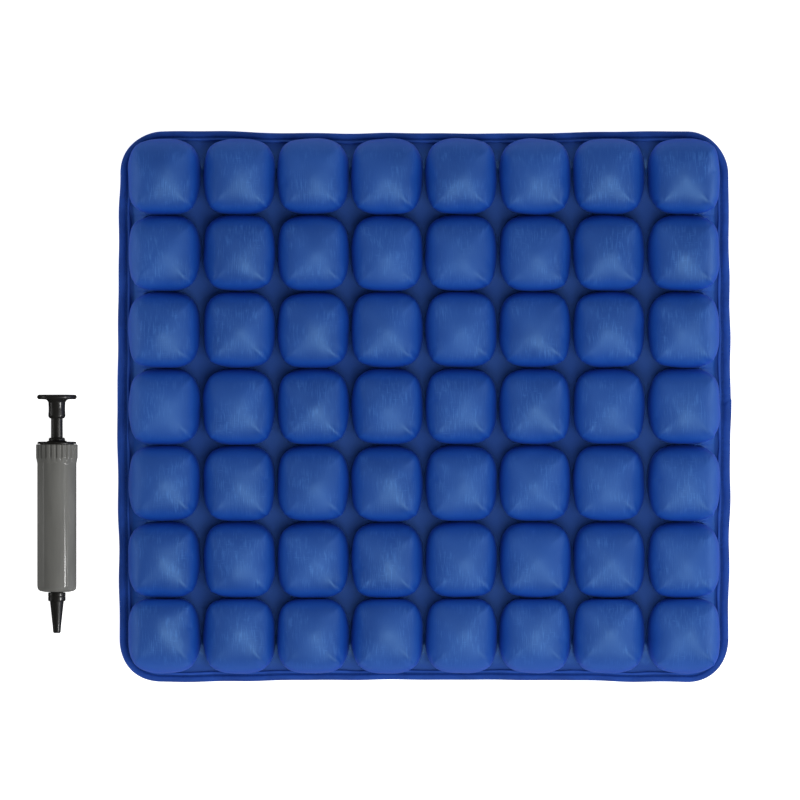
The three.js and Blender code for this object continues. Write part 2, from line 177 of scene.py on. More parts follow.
class Surface:
    """A material with a Principled shader, and short calls that add nodes to it."""

    def __init__(self, name):
        self.material = bpy.data.materials.new(name)
        self.material.use_nodes = True
        self.nodes = self.material.node_tree.nodes
        self.links = self.material.node_tree.links
        self.shader = self.nodes["Principled BSDF"]
        self.place = self.nodes.new("ShaderNodeTexCoord").outputs["Object"]

    def set(self, **values):
        """Constants on the shader's own sockets, such as roughness=0.4."""
        for name, value in values.items():
            socket = name.replace("_", " ").title().replace("Ior", "IOR")
            self.shader.inputs[socket].default_value = value

    def feed(self, socket, output):
        self.links.new(output, self.shader.inputs[socket])

    def node(self, kind, output, inputs=None, **properties):
        """Adds a node and returns one of its outputs. Each input is a constant or an output."""
        node = self.nodes.new("ShaderNode" + kind)
        for name, value in properties.items():
            setattr(node, name, value)
        for name, value in (inputs or {}).items():
            if isinstance(value, bpy.types.NodeSocket):
                self.links.new(value, node.inputs[name])
            else:
                node.inputs[name].default_value = value
        return node.outputs[output]

    def cloth_place(self):
        """Coordinates that lie along a fabric as if it were flat, in metres."""
        return self.node("UVMap", "UV", uv_map="cloth")

    def scaled(self, vector, scale):
        return self.node("Mapping", "Vector", {"Vector": vector, "Scale": scale})

    def noise(self, vector, scale, detail=3.0):
        """Noise of `scale` features a metre, or of (x, y, z) features in each direction."""
        if isinstance(scale, tuple):
            vector, scale = self.scaled(vector, scale), 1.0
        inputs = {"Vector": vector, "Scale": scale, "Detail": detail, "Roughness": 0.55}
        return self.node("TexNoise", "Fac", inputs)

    def bands(self, vector, axis, width, distortion=0.0, detail_scale=1.0):
        """Soft stripes across one axis. A Wave texture of scale 1 has 20/tau stripes a unit."""
        inputs = {
            "Vector": vector,
            "Scale": math.tau / 20 / width,
            "Distortion": distortion,
            "Detail": 2.0,
            "Detail Scale": detail_scale,
        }
        return self.node("TexWave", "Fac", inputs, bands_direction=axis)

    def times(self, a, b):
        return self.node("Math", "Value", {0: a, 1: b}, operation="MULTIPLY")

    def plus(self, a, b):
        return self.node("Math", "Value", {0: a, 1: b}, operation="ADD")

    def fit(self, value, low, high, to_low=0.0, to_high=1.0):
        """Maps low..high smoothly onto to_low..to_high."""
        names = ("Value", "From Min", "From Max", "To Min", "To Max")
        inputs = dict(zip(names, (value, low, high, to_low, to_high)))
        return self.node("MapRange", "Result", inputs, interpolation_type="SMOOTHSTEP")

    def strip(self, value, start, full, fade, end):
        """1 between `full` and `fade`, and 0 outside `start` and `end`."""
        return self.times(self.fit(value, start, full), self.fit(value, fade, end, 1.0, 0.0))

    def blend(self, share, a, b):
        """Colour a where share is 0 and b where it is 1."""
        return self.node("Mix", 2, {0: share, 6: a, 7: b}, data_type="RGBA")

    def roughness(self, value, low, high):
        """Roughness that goes from low to high with a noise."""
        self.feed("Roughness", self.fit(value, 0.3, 0.7, low, high))

    def relief(self, *layers):
        """Bumps laid over one another, each a (height, strength, depth in metres)."""
        below = {}
        for height, strength, depth in layers:
            inputs = {"Height": height, "Strength": strength, "Distance": depth, **below}
            below = {"Normal": self.node("Bump", "Normal", inputs)}
        self.feed("Normal", below["Normal"])


def rgb(red, green, blue):
    """A linear colour with full alpha."""
    return (red, green, blue, 1.0)


# ---- materials

DEEP_BLUE = rgb(0.0115, 0.058, 0.305)
ROYAL_BLUE = rgb(0.0135, 0.069, 0.355)
PALE_BLUE = rgb(0.0400, 0.140, 0.480)
WELD_BLUE = rgb(0.0150, 0.060, 0.330)
# Painted shade colour: the two blues below are laid on faces as they turn away from the view. They
# stand for the more saturated blue of the sloped faces and of the shaded walls in the gaps between
# the cells.
PAINTED_SLOPE_BLUE = rgb(0.0062, 0.074, 0.430)
PAINTED_WALL_BLUE = rgb(0.0032, 0.058, 0.500)


def knit_fabric():
    """Satin-faced nylon knit, laminated: lengthwise wales, faint courses and pulled threads."""
    look = Surface("knit_fabric")
    cloth = look.cloth_place()
    wales = look.bands(cloth, "X", 1.5 * MM, distortion=1.2, detail_scale=0.25)
    courses = look.bands(cloth, "Y", 1.9 * MM, distortion=1.2, detail_scale=0.25)
    streaks = look.noise(cloth, (1050, 95, 1), detail=2.0)
    snags = look.noise(cloth, (150, 1050, 1), detail=2.0)
    patches = look.noise(cloth, 38.0, detail=2.0)
    blotches = look.noise(look.place, 14.0, detail=2.0)

    tone = look.blend(look.fit(blotches, 0.32, 0.68), DEEP_BLUE, ROYAL_BLUE)
    worn = look.times(look.fit(streaks, 0.48, 0.70), look.fit(patches, 0.36, 0.60))
    tone = look.blend(look.times(worn, 0.62), tone, PALE_BLUE)
    pulled = look.times(look.fit(snags, 0.56, 0.76), look.fit(patches, 0.44, 0.64))
    tone = look.blend(look.times(pulled, 0.58), tone, PALE_BLUE)
    # Painted shade colour: faces turn a more saturated blue as they turn away from the view, most
    # on the steep walls in the gaps between cells.
    turned_away = look.node("LayerWeight", "Facing", {"Blend": 0.5})
    tone = look.blend(look.fit(turned_away, 0.05, 0.55, 0.0, 0.8), tone, PAINTED_SLOPE_BLUE)
    tone = look.blend(look.fit(turned_away, 0.45, 0.90), tone, PAINTED_WALL_BLUE)
    height = look.node("SeparateXYZ", "Z", {"Vector": look.place})
    welded = look.fit(height, 5.4 * MM, 7.5 * MM, 1.0, 0.0)
    look.feed("Base Color", look.blend(welded, tone, WELD_BLUE))

    matt = look.times(welded, 0.25)
    look.feed("Roughness", look.plus(matt, look.fit(blotches, 0.3, 0.7, 0.46, 0.56)))
    look.set(ior=1.55, specular_ior_level=0.9, specular_tint=rgb(0.34, 0.66, 0.92))
    look.set(sheen_weight=0.03, sheen_roughness=0.35, sheen_tint=rgb(0.30, 0.60, 1.0))
    weave = look.plus(wales, look.times(courses, 0.45))
    lines = look.plus(streaks, look.times(snags, 0.6))
    look.relief((weave, 0.22, 0.10 * MM), (lines, 0.45, 0.20 * MM))
    return look.material


def woven_tape():
    """Grosgrain tape: ribs across it, a painted highlight on its rolled inner edge, and painted
    shade in the groove under the stitches.
    """
    look = Surface("woven_tape")
    cloth = look.cloth_place()
    ribs = look.bands(cloth, "X", 0.9 * MM, distortion=0.6, detail_scale=0.3)
    yarns = look.bands(cloth, "Y", 0.55 * MM, distortion=0.4, detail_scale=0.3)
    slow = look.noise(cloth, (46, 120, 1))
    fuzz = look.noise(cloth, 900.0, detail=2.0)
    across = look.node("SeparateXYZ", "Y", {"Vector": cloth})
    # Painted highlight: a paler band along the rolled inner edge, where it catches the light.
    rolled_edge_highlight = look.strip(across, 0.9 * MM, 1.7 * MM, 3.6 * MM, 4.6 * MM)
    rolled_edge_highlight = look.times(rolled_edge_highlight, look.fit(slow, 0.3, 0.7, 0.25, 0.65))
    # Painted shade: a darker band in the groove under the stitches.
    groove = look.strip(across, 4.6 * MM, 5.4 * MM, 6.5 * MM, 7.4 * MM)
    dark, light = rgb(0.0085, 0.043, 0.255), rgb(0.0125, 0.060, 0.335)
    tone = look.blend(look.fit(slow, 0.34, 0.66), dark, light)
    tone = look.blend(look.fit(fuzz, 0.45, 0.8, 0.0, 0.35), tone, rgb(0.024, 0.078, 0.380))
    tone = look.blend(rolled_edge_highlight, tone, rgb(0.026, 0.092, 0.440))
    tone = look.blend(look.times(groove, 0.65), tone, rgb(0.0035, 0.026, 0.170))
    look.feed("Base Color", tone)
    look.roughness(fuzz, 0.58, 0.74)
    look.set(specular_ior_level=0.35, specular_tint=rgb(0.40, 0.62, 1.0))
    look.relief((ribs, 0.35, 0.12 * MM), (yarns, 0.2, 0.06 * MM), (fuzz, 0.2, 0.05 * MM))
    return look.material


def sewing_thread():
    """Twisted polyester thread a little darker than the tape."""
    look = Surface("sewing_thread")
    twist = look.bands(look.scaled(look.place, (1, 1, 0.4)), "DIAGONAL", 0.5 * MM, distortion=0.3)
    fuzz = look.noise(look.place, 1500.0)
    tone = look.blend(twist, rgb(0.0055, 0.030, 0.175), rgb(0.0095, 0.045, 0.255))
    tone = look.blend(look.fit(fuzz, 0.5, 0.9, 0, 0.3), tone, rgb(0.020, 0.070, 0.340))
    look.feed("Base Color", tone)
    look.roughness(fuzz, 0.42, 0.6)
    look.set(specular_ior_level=0.3, specular_tint=rgb(0.40, 0.62, 1.0))
    look.relief((twist, 0.5, 0.08 * MM))
    return look.material


def welded_film():
    """The flat sheet that closes the cells: smooth film with a faint calender grain."""
    look = Surface("welded_film")
    grain = look.noise(look.place, 700.0, detail=4.0)
    clouds = look.noise(look.place, 26.0)
    dark, light = rgb(0.010, 0.034, 0.150), rgb(0.016, 0.050, 0.200)
    tone = look.blend(look.fit(clouds, 0.3, 0.7), dark, light)
    look.feed("Base Color", tone)
    look.roughness(grain, 0.30, 0.44)
    look.set(specular_ior_level=0.5, coat_weight=0.08, coat_roughness=0.35)
    look.relief((grain, 0.25, 0.05 * MM))
    return look.material


def base_cloth():
    """Dense plain weave of the underside, matt, with the anti-slip finish's fine grain."""
    look = Surface("base_cloth")
    cloth = look.cloth_place()
    warp = look.bands(cloth, "X", 0.8 * MM, distortion=0.5, detail_scale=0.4)
    weft = look.bands(cloth, "Y", 0.8 * MM, distortion=0.5, detail_scale=0.4)
    slubs = look.noise(cloth, (60, 900, 1))
    clouds = look.noise(cloth, 18.0)
    dark, light = rgb(0.0075, 0.020, 0.083), rgb(0.0125, 0.033, 0.125)
    tone = look.blend(look.fit(clouds, 0.3, 0.7), dark, light)
    tone = look.blend(look.fit(slubs, 0.55, 0.85, 0, 0.5), tone, rgb(0.022, 0.052, 0.175))
    look.feed("Base Color", tone)
    look.roughness(slubs, 0.74, 0.9)
    look.set(specular_ior_level=0.3, sheen_weight=0.15, sheen_roughness=0.6)
    look.relief((look.times(warp, weft), 0.5, 0.12 * MM), (slubs, 0.25, 0.08 * MM))
    return look.material


def moulded_plastic(name, dark, light, roughness, scratch, coat=0.0, shine=0.35):
    """Injection-moulded plastic: flow marks, hairline scratches and a fine grain."""
    look = Surface(name)
    flow = look.noise(look.place, (90, 16, 90))
    hairs = look.noise(look.place, (1400, 60, 1400), detail=2.0)
    grain = look.noise(look.place, 2200.0, detail=2.0)
    tone = look.blend(look.fit(flow, 0.32, 0.68), dark, light)
    tone = look.blend(look.fit(hairs, 0.62, 0.85, 0, scratch), tone, rgb(0.35, 0.35, 0.35))
    look.feed("Base Color", tone)
    look.feed("Roughness", look.fit(hairs, 0.3, 0.75, roughness - 0.05, roughness + 0.09))
    look.set(specular_ior_level=shine, coat_weight=coat, coat_roughness=0.07)
    look.relief((grain, 0.12, 0.03 * MM), (hairs, 0.08, 0.03 * MM))
    return look.material


def seal_rubber():
    """Soft black rubber with mould bloom."""
    look = Surface("soft_rubber")
    bloom = look.noise(look.place, 320.0, detail=4.0)
    black, bloomed = rgb(0.010, 0.010, 0.011), rgb(0.03, 0.03, 0.032)
    look.feed("Base Color", look.blend(look.fit(bloom, 0.35, 0.75), black, bloomed))
    look.roughness(bloom, 0.62, 0.82)
    look.relief((bloom, 0.3, 0.05 * MM))
    return look.material


def pale_floor():
    """Plain white floor, lit a little from within so that shadows on it stay faint."""
    look = Surface("pale_floor")
    mottle = look.noise(look.place, 6.0)
    look.feed("Base Color", look.blend(mottle, rgb(0.93, 0.93, 0.93), rgb(0.95, 0.95, 0.95)))
    look.set(roughness=0.9, specular_ior_level=0.2)
    look.set(emission_strength=0.8, emission_color=rgb(1, 1, 1))
    return look.material


KNIT = knit_fabric()
TAPE = woven_tape()
THREAD = sewing_thread()
FILM = welded_film()
BASE = base_cloth()
GREY_PLASTIC = moulded_plastic(
    "grey_plastic", rgb(0.105, 0.105, 0.098), rgb(0.128, 0.128, 0.120),
    roughness=0.60, scratch=0.05, coat=0.22, shine=0.15,
)
BLACK_PLASTIC = moulded_plastic(
    "black_plastic", rgb(0.0095, 0.0092, 0.0082), rgb(0.014, 0.0135, 0.0120),
    roughness=0.36, scratch=0.03, coat=0.25,
)
VALVE_PLASTIC = moulded_plastic(
    "valve_plastic", rgb(0.012, 0.012, 0.013), rgb(0.02, 0.02, 0.021),
    roughness=0.42, scratch=0.04,
)
RUBBER = seal_rubber()


def finish_piece(obj, material, body, slot, *nodes):
    """Gives a piece its material and body, and hides the CAD nodes that it stands for. Its slot is
    not used.
    """
    obj.data.materials.clear()
    obj.data.materials.append(material)
    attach(obj, body)
    if nodes:
        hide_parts(*nodes)
    return obj


# ---- air cells

FOOT_RING = 46                      # rings from the crown to the foot of a cell's wall
WEB_RINGS = 6                       # rings of the flat web from the foot to the patch's edge
RINGS = FOOT_RING + WEB_RINGS
HALF_X = 26.4 * MM                  # half size of a cell where it is widest
HALF_Y = 28.1 * MM
CELL_REACH_X = PITCH_X / 2 - 0.12 * MM   # where a cell meets its neighbour
CELL_REACH_Y = PITCH_Y / 2 - 0.15 * MM
LEAN_Y = 1.2 * MM                   # how far the meeting lines of the rows sit below the welds
SIDE_SADDLE = 14 * MM               # rise of the sheet between outer cells, at the long sides
END_SADDLE = 5 * MM

# From the crown to the foot: share of the half size, height in mm, squareness power
CELL_PROFILE = [
    (0.000, 47.0, 2.3),
    (0.195, 46.5, 2.4),
    (0.390, 45.3, 2.8),
    (0.565, 43.5, 3.6),
    (0.725, 40.9, 4.9),
    (0.855, 36.9, 4.9),
    (0.935, 31.6, 4.1),
    (0.975, 25.4, 3.6),
    (0.995, 18.6, 3.1),
    (1.000, 12.6, 2.8),
    (0.965, 7.4, 2.6),
    (0.910, 4.85, 2.6),
]
MIDDLE_POINT = (-CELL_PROFILE[1][0], CELL_PROFILE[1][1], CELL_PROFILE[1][2])


def ring_grid(rings):
    """Places of a square grid's points, each from -1 to 1, and the ring that each is on."""
    line = np.linspace(-1, 1, 2 * rings + 1)
    s, t = np.meshgrid(line, line, indexing="ij")
    return s, t, np.maximum(np.abs(s), np.abs(t))


def cell_profile(share):
    """The profile at shares 0 (crown) to 1 (foot) of the way down, smooth over the crown."""
    points = [MIDDLE_POINT] + CELL_PROFILE
    first = 1 / (len(points) - 1)
    return through_points(points, first + share * (1 - first))


def start_shape(rings, seed, size=0.985):
    """An empty cell before it is blown up: a soft four-sided pyramid on its flat web."""
    s, t, rho = ring_grid(rings)
    foot = FOOT_RING / RINGS
    share = np.minimum(rho / foot, 1.0)
    radius, height, power = np.moveaxis(cell_profile(share), -1, 0)
    angle = np.arctan2(t, s)
    cosine, sine = np.abs(np.cos(angle)), np.abs(np.sin(angle))
    spread = (cosine**power + sine**power) ** (-1 / power)
    free = ramp(1 - share, 0, 1 / 6)
    radius = radius * (1 - (1 - size) * free)
    x = radius * spread * np.cos(angle) * HALF_X
    y = radius * spread * np.sin(angle) * HALF_Y
    edge = np.maximum(rho, 1e-9)
    web = np.clip((rho - foot) / (1 - foot), 0, 1)
    x = x * (1 - web) + web * s / edge * PITCH_X / 2
    y = y * (1 - web) + web * t / edge * PITCH_Y / 2
    z = height * MM * (1 - web) + WEB_TOP * web
    z = z + free * 0.5 * MM * soft_noise(x, y, 26 * MM, seed)
    x = x + free * 0.35 * MM * soft_noise(y, z, 24 * MM, seed + 50)
    y = y + free * 0.35 * MM * soft_noise(x, z, 24 * MM, seed + 90)
    return np.stack([x, y, z], axis=-1)


def inflate(points, held, enlarge=10.0, frames=20, pressure=4.0, reach=0.9 * MM):
    """Blows up a sheet with Blender's cloth solver and returns where its points come to rest.

    The solver works best on things of furniture size, so the sheet is enlarged for it.
    """
    count = points.shape[0]
    sheet = new_object("cell_sheet", points.reshape(-1, 3) * enlarge, grid_faces(count, count))
    group = sheet.vertex_groups.new(name="seam")
    group.add([int(i) for i in np.flatnonzero(held.ravel())], 1.0, "REPLACE")
    cloth = sheet.modifiers.new("air", "CLOTH")
    settings = cloth.settings
    settings.quality = 6
    settings.mass = 0.25
    settings.tension_stiffness = 30
    settings.compression_stiffness = 20
    settings.shear_stiffness = 12
    settings.bending_stiffness = 1.2
    settings.vertex_group_mass = "seam"
    settings.use_pressure = True
    settings.uniform_pressure_force = pressure
    settings.effector_weights.gravity = 0
    cloth.point_cache.frame_start = 1
    cloth.point_cache.frame_end = frames
    for number in range(1, frames + 1):
        bpy.context.scene.frame_set(number)
    shaped = sheet.evaluated_get(bpy.context.evaluated_depsgraph_get())
    place = np.zeros(len(shaped.data.vertices) * 3, np.float32)
    shaped.data.vertices.foreach_get("co", place)
    bpy.context.scene.frame_set(1)
    bpy.data.meshes.remove(sheet.data)
    moved = place.reshape(points.shape) / enlarge - points
    length = np.linalg.norm(moved, axis=-1, keepdims=True)
    return points + moved * np.minimum(1.0, reach / np.maximum(length, 1e-9))


def with_midpoints(grid, axis):
    """The grid with a smooth point added between each two of its points along one axis."""
    grid = np.moveaxis(grid, axis, 0)
    inner = (9 * (grid[1:-2] + grid[2:-1]) - grid[:-3] - grid[3:]) / 16
    first = (grid[:1] + grid[1:2]) / 2
    last = (grid[-2:-1] + grid[-1:]) / 2
    finer = np.empty((2 * len(grid) - 1,) + grid.shape[1:])
    finer[::2] = grid
    finer[1::2] = np.concatenate([first, inner, last])
    return np.moveaxis(finer, 0, axis)


def cell_variant(seed):
    """One inflated cell on its rectangle of web, as a grid of points about its centre."""
    rings = RINGS // 2
    points = start_shape(rings, seed)
    held = ring_grid(rings)[2] >= FOOT_RING / RINGS - 1e-6
    points = inflate(points, held)
    return with_midpoints(with_midpoints(points, 0), 1)


def surface_normals(grid):
    """Unit normals of a grid of points."""
    along = np.gradient(grid, axis=0)
    across = np.gradient(grid, axis=1)
    normal = np.cross(along, across)
    return normal / np.maximum(np.linalg.norm(normal, axis=-1, keepdims=True), 1e-12)


def crease_corners(grid, rng):
    """Adds what each corner of a cell has: a ridge, a tuck, a knuckle and small folds."""
    s, t, rho = ring_grid(RINGS)
    across = (np.abs(s) - np.abs(t)) * RINGS         # rings away from the diagonal
    down = rho * RINGS                               # rings down from the crown

    def spot(aside, width, level, length):
        """A soft bump of height 1. Its place and size are in rings."""
        return bell(across - aside, width) * bell(down - level, length)

    def waves(closest, widest, phase):
        """Ripples that run across the diagonal."""
        return np.cos(across * rng.uniform(closest, widest) + rng.uniform(-phase, phase))

    height = np.zeros_like(rho)
    for sign_x in (-1, 1):
        for sign_y in (-1, 1):
            corner = (s * sign_x > 0) & (t * sign_y > 0)
            tip = rng.uniform(20, 23)                # ring where the corner is sharpest
            ridge = spot(rng.normal(0, 0.3), 2.6, tip - 1, 5.5)
            tuck = spot(rng.choice((-1, 1)) * 5.0, 2.2, tip + 1, 4.0)
            puckers = waves(0.75, 1.0, 1.0) * spot(0, 9, tip + 6, 4.0)
            folds = waves(1.2, 1.5, 0.6) * spot(0, 5, tip - 0.5, 4.0)
            knuckle = spot(rng.normal(0, 0.8), 3.4, rng.uniform(15.5, 17.5), 3.0)
            sharp = 1.0 + 0.35 * sign_x - 0.50 * sign_y
            shape = rng.uniform(0.28, 0.56) * ridge - rng.uniform(0.15, 0.40) * tuck
            shape = shape + rng.uniform(0.36, 0.62) * knuckle + rng.uniform(0.06, 0.13) * folds
            height = np.where(corner, height + (sharp * shape + 0.06 * puckers) * MM, height)
    return grid + surface_normals(grid) * height[..., None]


CORNER_X = HALF_LENGTH - CORNER_RADIUS       # centres of the cushion's rounded corners
CORNER_Y = HALF_WIDTH - CORNER_RADIUS


def outline_point(x, y, inset):
    """Moves points that lie outside the cushion's rounded corners onto them."""
    over_x = np.abs(x) - CORNER_X
    over_y = np.abs(y) - CORNER_Y
    in_corner = (over_x > 0) & (over_y > 0)
    distance = np.maximum(np.hypot(over_x, over_y), 1e-9)
    shrink = np.where(in_corner, (CORNER_RADIUS - inset) / distance, 1.0)
    new_x = np.where(in_corner, np.sign(x) * (CORNER_X + over_x * shrink), x)
    new_y = np.where(in_corner, np.sign(y) * (CORNER_Y + over_y * shrink), y)
    return new_x, new_y


def from_outline(x, y):
    """Distance inwards from the cushion's rounded outline."""
    over_x = np.abs(x) - CORNER_X
    over_y = np.abs(y) - CORNER_Y
    in_corner = np.hypot(np.maximum(over_x, 0), np.maximum(over_y, 0))
    return CORNER_RADIUS - in_corner - np.minimum(np.maximum(over_x, over_y), 0)


def saddle(from_edge, from_corner, height):
    """The sheet drawn up between two outer cells, just inside the binding."""
    rise = ramp(from_edge, 9 * MM, 24 * MM)
    fall = 1 - ramp(from_edge, 28 * MM, 36 * MM)
    return height * rise * fall * ramp(from_corner, 8 * MM, 33 * MM)


def web_height(x, y):
    """Height of the welded sheet: flat inside, and drawn up between the outer cells."""
    from_side = HALF_LENGTH - np.abs(x)
    from_end = HALF_WIDTH - np.abs(y)
    drawn_up = saddle(from_side, from_end, SIDE_SADDLE) + saddle(from_end, from_side, END_SADDLE)
    ripple = 0.25 * MM * soft_noise(x, y, 18 * MM, 7)
    return WEB_TOP + drawn_up + ripple * ramp(from_outline(x, y), 9 * MM, 13 * MM)


def out_to_hem(share, centre, pitch, hem, outer):
    """Places across a patch, from -1 to 1, with its outer half drawn out as far as the hem."""
    half = np.where(share * outer > 0, hem - abs(centre), pitch / 2)
    return centre + share * half


CROWN_RISE = 42 * MM                # from the web to a cell's crown
OUTER_LEAN = 1.6 * MM               # how far the outermost cells lean out over the binding
ROW_LEAN = -1.8                     # mean lean of a cell's crown along Y, in mm
FRONT_LEAN = 2.4                    # the same in the front row


def placed_cell(grid, column, row, rng):
    """One cell of the cushion in its place, with its own small differences."""
    s, t, rho = ring_grid(RINGS)
    if rng.random() < 0.5:
        grid = grid[::-1] * (-1, 1, 1)
    if rng.random() < 0.5:
        grid = grid[:, ::-1] * (1, -1, 1)
    grid = crease_corners(grid, rng)
    centre_x = (column - (COLUMNS - 1) / 2) * PITCH_X
    centre_y = ((ROWS - 1) / 2 - row) * PITCH_Y
    x, y, z = np.moveaxis(grid, -1, 0)

    rise = np.clip((z - WEB_TOP) / CROWN_RISE, 0, 1.1)
    z = WEB_TOP + (z - WEB_TOP) * (1 + rng.normal(0, 0.010))
    outer_x = (column == COLUMNS - 1) - (column == 0)
    outer_y = (row == 0) - (row == ROWS - 1)
    x = x + (rng.normal(-0.1, 0.5) * MM) * rise**1.5 + OUTER_LEAN * outer_x * rise**0.7
    lean = FRONT_LEAN if row == ROWS - 1 else ROW_LEAN
    y = y + (rng.normal(lean, 0.5) * MM) * rise**1.5
    z = z + rise * (x * rng.normal(0, 0.012) + y * rng.normal(0, 0.012))
    reach_x = np.where(rho < 1, CELL_REACH_X, PITCH_X / 2)
    reach_y = np.where(rho < 1, CELL_REACH_Y, PITCH_Y / 2)
    drop = np.where(rho < 1, LEAN_Y * rise, 0)
    if column < COLUMNS - 1:
        x = np.minimum(x, reach_x)
    if column > 0:
        x = np.maximum(x, -reach_x)
    if row < ROWS - 1:
        y = np.maximum(y, -reach_y - drop)
    if row > 0:
        y = np.minimum(y, reach_y - drop)

    # The web of an outer cell runs on to the hem, round the cushion's corner.
    edge = np.maximum(rho, 1e-9)
    edge_x = centre_x + s / edge * PITCH_X / 2
    edge_y = centre_y + t / edge * PITCH_Y / 2
    far_x = out_to_hem(s / edge, centre_x, PITCH_X, HALF_LENGTH - HEM_INSET, outer_x)
    far_y = out_to_hem(t / edge, centre_y, PITCH_Y, HALF_WIDTH - HEM_INSET, outer_y)
    far_x, far_y = outline_point(far_x, far_y, HEM_INSET)
    web = np.clip((rho * RINGS - FOOT_RING) / WEB_RINGS, 0, 1)
    x = centre_x + x + (far_x - edge_x) * web
    y = centre_y + y + (far_y - edge_y) * web

    raised = web_height(x, y) - WEB_TOP
    low_wall = ramp(rho * RINGS, FOOT_RING - 14, FOOT_RING)
    z = z + raised * low_wall
    fill = 1 + 0.12 * low_wall * (1 - web) * np.clip(raised / SIDE_SADDLE, 0, 1)
    x = centre_x + (x - centre_x) * fill
    y = centre_y + (y - centre_y) * fill
    return np.stack([x, y, z], axis=-1)


def cloth_coordinates(grid, column, row):
    """How far each point is from the cell's middle along the cloth itself."""
    step_x = np.linalg.norm(np.diff(grid, axis=0), axis=-1)
    step_y = np.linalg.norm(np.diff(grid, axis=1), axis=-1)
    u = np.concatenate([np.zeros_like(step_x[:1]), np.cumsum(step_x, axis=0)])
    v = np.concatenate([np.zeros_like(step_y[:, :1]), np.cumsum(step_y, axis=1)], axis=1)
    u = u - u[RINGS] + column * 0.137
    v = v - v[:, RINGS][:, None] - row * 0.141
    return u, v


def write_cloth_map(mesh, u, v):
    """Stores flat cloth coordinates, one pair for each vertex, as the UV map of the mesh."""
    layer = mesh.uv_layers.new(name="cloth")
    corner = np.zeros(len(mesh.loops), np.int64)
    mesh.loops.foreach_get("vertex_index", corner)
    pairs = np.stack([u[corner], v[corner]], axis=1).astype(np.float32)
    layer.data.foreach_set("uv", pairs.ravel())


def extruded_to(bm, edges, level):
    """Pulls walls from a loop of edges to a height, and returns the walls' new edges."""
    made = bmesh.ops.extrude_edge_only(bm, edges=edges)["geom"]
    corners = {g for g in made if isinstance(g, bmesh.types.BMVert)}
    for vertex in corners:
        vertex.co.z = level
    edges = [g for g in made if isinstance(g, bmesh.types.BMEdge) and g.is_boundary]
    return [e for e in edges if all(v in corners for v in e.verts)]


def close_below(obj, bottom, pocket):
    """Gives an open sheet a hem and a flat underside, with the valve's pocket if it is there."""
    with editing(obj.data) as bm:
        bmesh.ops.remove_doubles(bm, verts=bm.verts, dist=0.01 * MM)
        rim = [e for e in bm.edges if e.is_boundary]
        loops = extruded_to(bm, rim, bottom)
        for edge in rim:
            edge.smooth = False
        if pocket:
            ring = bmesh.ops.create_circle(bm, segments=48, radius=VALVE_POCKET_RADIUS)["verts"]
            for vertex in ring:
                vertex.co += Vector((VALVE_X, VALVE_Y, bottom))
            circle = [e for e in bm.edges if e.is_wire]
            loops = loops + circle
            bmesh.ops.edgeloop_fill(bm, edges=extruded_to(bm, circle, VALVE_POCKET_TOP))
        bmesh.ops.triangle_fill(bm, edges=loops, use_beauty=True)
        bmesh.ops.recalc_face_normals(bm, faces=bm.faces)
    shade_smooth(obj.data)


def cell_row(row, variants):
    """One row of the upper laminate: eight inflated cells on their strip of web."""
    rng = np.random.default_rng(1000 + row)
    cells = []
    side = 2 * RINGS + 1
    for column in range(COLUMNS):
        grid = variants[int(rng.integers(len(variants)))]
        grid = placed_cell(grid, column, row, rng)
        faces = grid_faces(side, side, start=side * side * column)
        u, v = cloth_coordinates(grid, column, row)
        cells.append((grid.reshape(-1, 3), faces, u.ravel(), v.ravel()))
    vertices, faces, u, v = (np.concatenate(arrays) for arrays in zip(*cells))
    obj = new_object(f"row_{row + 1}_cells", vertices, faces)
    write_cloth_map(obj.data, u, v)
    close_below(obj, WEB_BOTTOM, pocket=row == ROWS - 1)
    finish_piece(obj, KNIT, "cushion", "cell_fabric", f"air_cell_row_{row + 1}")


VARIANTS = [cell_variant(seed) for seed in (11, 23, 37, 41, 59)]
for row_number in range(ROWS):
    cell_row(row_number, VARIANTS)

# ---- edge binding and stitches


def edge_path(step):
    """Points round the cushion as (corner or side centre, outward normal, distance along)."""
    signs = ((1, -1), (1, 1), (-1, 1), (-1, -1))
    corners = [(sign_x * CORNER_X, sign_y * CORNER_Y) for sign_x, sign_y in signs]
    anchors, normals = [], []
    for side, start in enumerate(corners):
        end = corners[(side + 1) % 4]
        facing = 90.0 * side
        length = math.dist(start, end)
        for share in np.arange(0, 1, step / length):
            anchors.append([a + (b - a) * share for a, b in zip(start, end)])
            normals.append(facing)
        for turn in np.arange(0, 90, math.degrees(step / CORNER_RADIUS)):
            anchors.append(end)
            normals.append(facing + turn)
    anchors = np.array(anchors)
    angle = np.radians(normals)
    normals = np.stack([np.cos(angle), np.sin(angle)], axis=1)
    rim = anchors + normals * CORNER_RADIUS
    steps = np.linalg.norm(np.roll(rim, -1, axis=0) - rim, axis=1)
    along = np.concatenate([[0], np.cumsum(steps)[:-1]])
    return anchors, normals, along, float(steps.sum())


SIDE_BELLY = 130 * MM               # half length of the swelling at the middle of each side
SIDE_SWELL = 2.0 * MM
END_SWELL = 1.6 * MM
CORNER_SWELL = 1.4 * MM
FAR_END_DRAWN_IN = 0.8 * MM
EDGE_DRAWN_IN = 2.3 * MM            # the welded edge shrinks in as the cells fill


def edge_bow(anchors, normals):
    """How far the soft edge stands out: the sides belly out, the ends puff near the corners."""
    across, lengthwise = np.abs(normals.T) ** 4
    far_end = normals[:, 1] > 0
    near_corner = 4 * normals[:, 0] ** 2 * normals[:, 1] ** 2 * ~far_end
    side = SIDE_SWELL * bell(anchors[:, 1], SIDE_BELLY)
    end = END_SWELL * bell(np.abs(anchors[:, 0]) - 175 * MM, 60 * MM) - FAR_END_DRAWN_IN * far_end
    return side * across + end * lengthwise + CORNER_SWELL * near_corner - EDGE_DRAWN_IN


